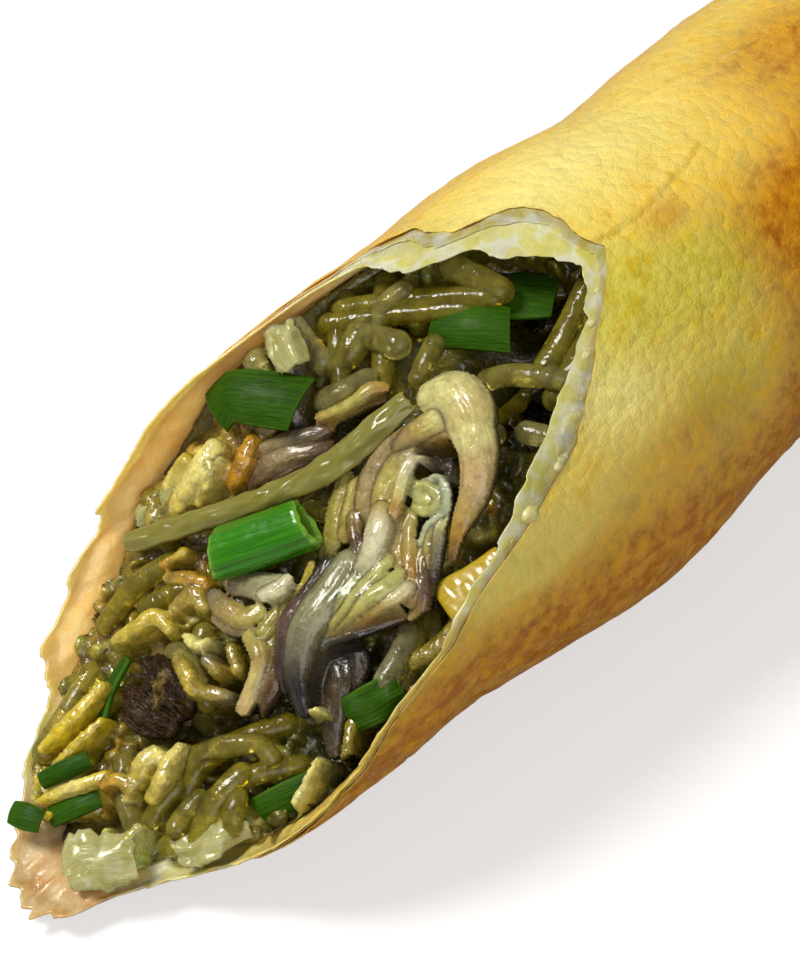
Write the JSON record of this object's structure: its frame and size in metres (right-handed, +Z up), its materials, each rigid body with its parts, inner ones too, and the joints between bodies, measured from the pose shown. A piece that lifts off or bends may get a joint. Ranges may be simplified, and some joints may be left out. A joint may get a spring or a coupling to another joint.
{
  "type": "fried spring roll",
  "caption": "Fried spring roll bitten at one end, with its glass noodle, oyster and spring onion filling showing at the slanting mouth.",
  "frame": {"origin": "on the surface the roll lies on, under its long axis, about midway along the roll as it is left", "axes": "+X along the roll towards its shut end, the bitten mouth faces -X and up, +Z up"},
  "size_m": [0.1135, 0.0361, 0.0345],
  "materials": {
    "fried_sheet": "crisp fried pastry sheet, golden with greener and browner patches, finely blistered",
    "filling": "wet mash of glass noodles and cabbage, olive yellow, glossy",
    "oyster": "cooked oyster, cream to purple grey with a dark frilled edge, wet",
    "spring_onion": "cut spring onion, bright to deep green, wet",
    "mushroom": "dark brown chopped mushroom, crumbly",
    "cabbage": "pale translucent cooked cabbage, wet",
    "bamboo": "light yellow strip of bamboo shoot, fibrous",
    "noodle": "clear grey yellow flat glass noodle, wet"
  },
  "bodies": {
    "root": {"wrapper": "fried_sheet", "filling": "filling", "oyster": "oyster", "oyster_small": "oyster", "oyster_mantle": "oyster", "mushroom": "mushroom", "onion_tube": "spring_onion", "bamboo_strip": "bamboo", "noodle_ribbon": "noodle", "onion_leaf_rim": "spring_onion", "onion_leaf_front": "spring_onion", "onion_leaf_deep": "spring_onion", "onion_leaf_low": "spring_onion", "onion_leaf_wall": "spring_onion", "onion_bit_tip_a": "spring_onion", "onion_bit_tip_b": "spring_onion", "onion_bit_edge": "spring_onion", "onion_strip_dark": "spring_onion", "cabbage_tip": "cabbage", "cabbage_low": "cabbage", "cabbage_rim": "cabbage", "cabbage_side": "cabbage"}
  },
  "joints": []
}
